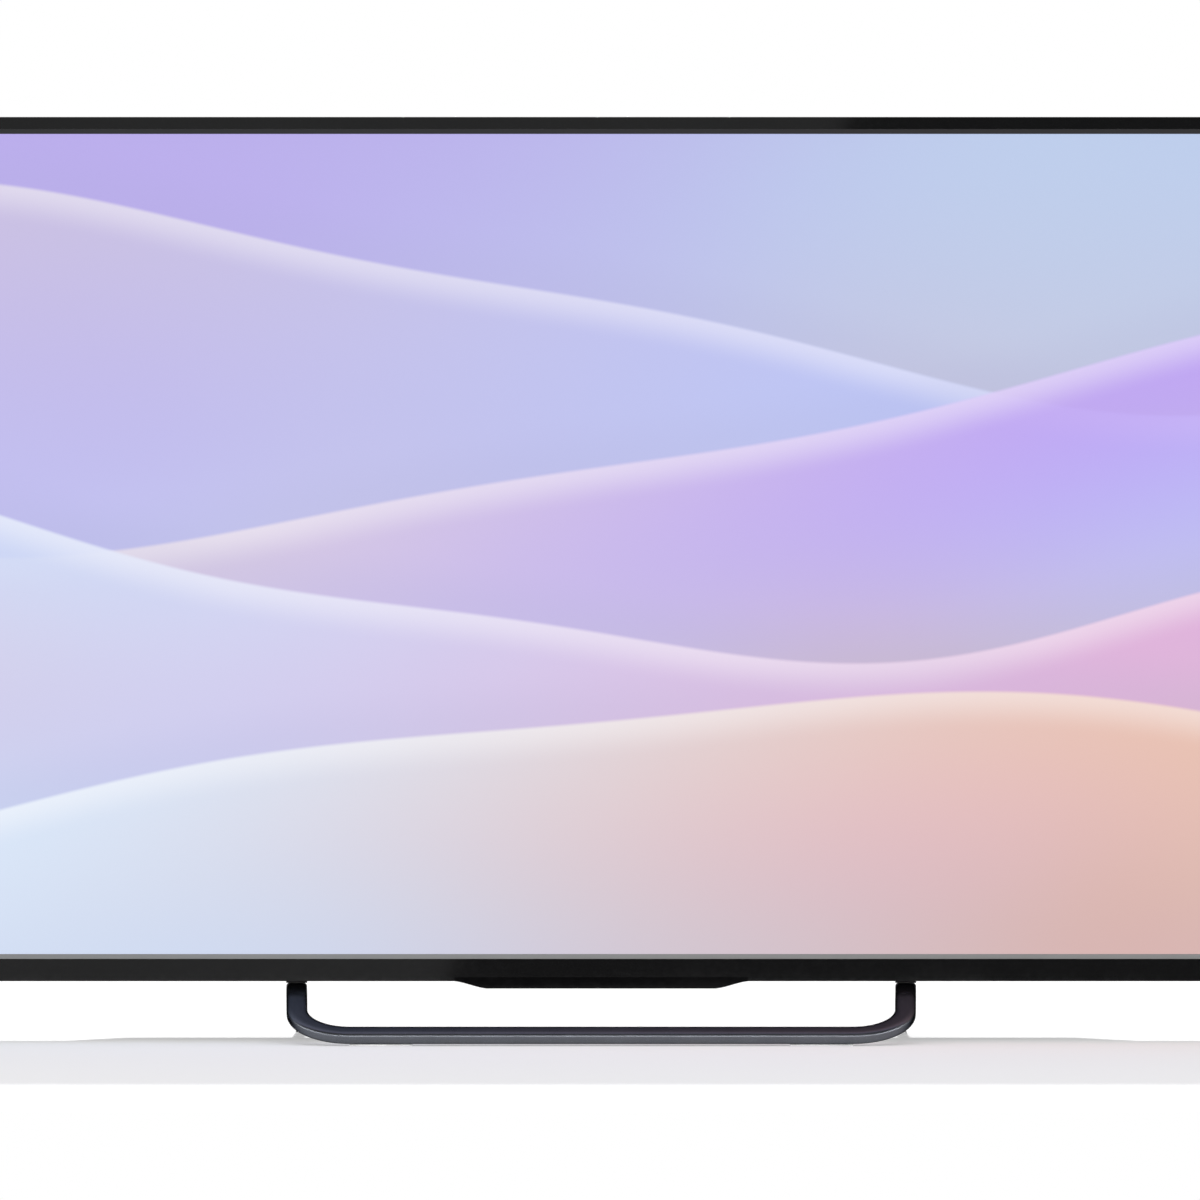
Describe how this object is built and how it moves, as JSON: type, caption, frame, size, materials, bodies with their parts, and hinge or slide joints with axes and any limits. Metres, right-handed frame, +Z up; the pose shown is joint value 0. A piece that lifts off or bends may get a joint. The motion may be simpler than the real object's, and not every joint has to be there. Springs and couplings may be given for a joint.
{
  "type": "flat screen television",
  "caption": "Flat screen television with a thin gloss black bezel on a bent flat-bar stand, built with its backlight, boards, sockets, speakers and rear keys.",
  "frame": {"origin": "on the table plane, under the middle of the stand", "axes": "+X to the right seen from the front, +Y from the screen to the back, +Z up"},
  "size_m": [0.9628, 0.1946, 0.5961],
  "materials": {
    "bezel_black": "polished black",
    "smoked_lens": "smoked, polished",
    "trim_grey": "satin grey",
    "foam": "black foam",
    "screen": "lit picture behind matt glass",
    "frame_grey": "moulded",
    "film": "milky film",
    "white_sheet": "white",
    "clear_lens": "clear",
    "galvanised": "galvanised",
    "board_green": "solder mask",
    "board_tan": "paper laminate",
    "cable": "insulated wire",
    "aluminium": "extruded",
    "socket_metal": "tinned shell",
    "brass": "plated",
    "socket_black": "moulded",
    "coil_yellow": "taped core",
    "screw_steel": "blackened",
    "key_black": "satin black",
    "speaker_black": "moulded",
    "cone_paper": "coated paper",
    "rubber": "matt",
    "pad_clear": "pale silicone",
    "cover_black": "fine texture",
    "graphite": "satin graphite"
  },
  "bodies": {
    "set": {"front_bezel": "bezel_black", "lower_trim_strip": "trim_grey", "bezel_gasket": "foam", "ir_lens": "smoked_lens", "ir_board": "board_green", "lcd_panel": "screen", "mid_frame": "frame_grey", "prism_sheet": "film", "diffuser_sheet": "film", "diffuser_plate": "film", "reflector_sheet": "white_sheet", "led_strips": "white_sheet", "led_lenses": "clear_lens", "backlight_tray": "galvanised", "source_boards": "board_green", "tcon_board": "board_green", "signal_ribbon": "cable", "main_board": "board_green", "main_heatsink": "aluminium", "tuner_can": "socket_metal", "antenna_socket": "brass", "hdmi_sockets": "socket_metal", "usb_sockets": "socket_metal", "lan_socket": "socket_metal", "audio_jacks": "socket_black", "power_board": "board_tan", "power_transformers": "coil_yellow", "power_capacitors": "socket_black", "power_heatsink": "aluminium", "power_harness": "cable", "mains_inlet": "socket_black", "board_screws": "screw_steel", "key_board": "board_green", "key_switches": "socket_black", "speaker_box_left": "speaker_black", "speaker_box_right": "speaker_black", "speaker_driver_left": "speaker_black", "speaker_driver_right": "speaker_black", "speaker_mounts": "rubber", "speaker_leads": "cable", "vesa_bracket_left": "galvanised", "vesa_bracket_right": "galvanised", "stand_bracket_left": "galvanised", "stand_bracket_right": "galvanised", "bracket_screws": "screw_steel", "rear_cover": "cover_black", "rear_cover_screws": "screw_steel", "stand_frame": "graphite", "stand_saddles": "rubber", "stand_screws": "screw_steel", "foot_pads": "pad_clear"},
    "key_power": {"key_power": "key_black"},
    "key_source": {"key_source": "key_black"},
    "key_menu": {"key_menu": "key_black"},
    "key_channel_up": {"key_channel_up": "key_black"},
    "key_channel_down": {"key_channel_down": "key_black"},
    "key_volume_up": {"key_volume_up": "key_black"},
    "key_volume_down": {"key_volume_down": "key_black"},
    "speaker_cone_left": {"speaker_cone_left": "cone_paper"},
    "speaker_cone_right": {"speaker_cone_right": "cone_paper"}
  },
  "joints": [
    {"name": "key_power_press", "type": "slide", "parent": "set", "child": "key_power", "axis": [0, -1, 0], "range_m": [0, 0.0006], "stiffness_N_per_m": 2000},
    {"name": "key_source_press", "type": "slide", "parent": "set", "child": "key_source", "axis": [0, -1, 0], "range_m": [0, 0.0006], "stiffness_N_per_m": 2000},
    {"name": "key_menu_press", "type": "slide", "parent": "set", "child": "key_menu", "axis": [0, -1, 0], "range_m": [0, 0.0006], "stiffness_N_per_m": 2000},
    {"name": "key_channel_up_press", "type": "slide", "parent": "set", "child": "key_channel_up", "axis": [0, -1, 0], "range_m": [0, 0.0006], "stiffness_N_per_m": 2000},
    {"name": "key_channel_down_press", "type": "slide", "parent": "set", "child": "key_channel_down", "axis": [0, -1, 0], "range_m": [0, 0.0006], "stiffness_N_per_m": 2000},
    {"name": "key_volume_up_press", "type": "slide", "parent": "set", "child": "key_volume_up", "axis": [0, -1, 0], "range_m": [0, 0.0006], "stiffness_N_per_m": 2000},
    {"name": "key_volume_down_press", "type": "slide", "parent": "set", "child": "key_volume_down", "axis": [0, -1, 0], "range_m": [0, 0.0006], "stiffness_N_per_m": 2000},
    {"name": "speaker_cone_left_travel", "type": "slide", "parent": "set", "child": "speaker_cone_left", "axis": [0, 0, 1], "range_m": [-0.001, 0.001], "stiffness_N_per_m": 1500},
    {"name": "speaker_cone_right_travel", "type": "slide", "parent": "set", "child": "speaker_cone_right", "axis": [0, 0, 1], "range_m": [-0.001, 0.001], "stiffness_N_per_m": 1500}
  ]
}
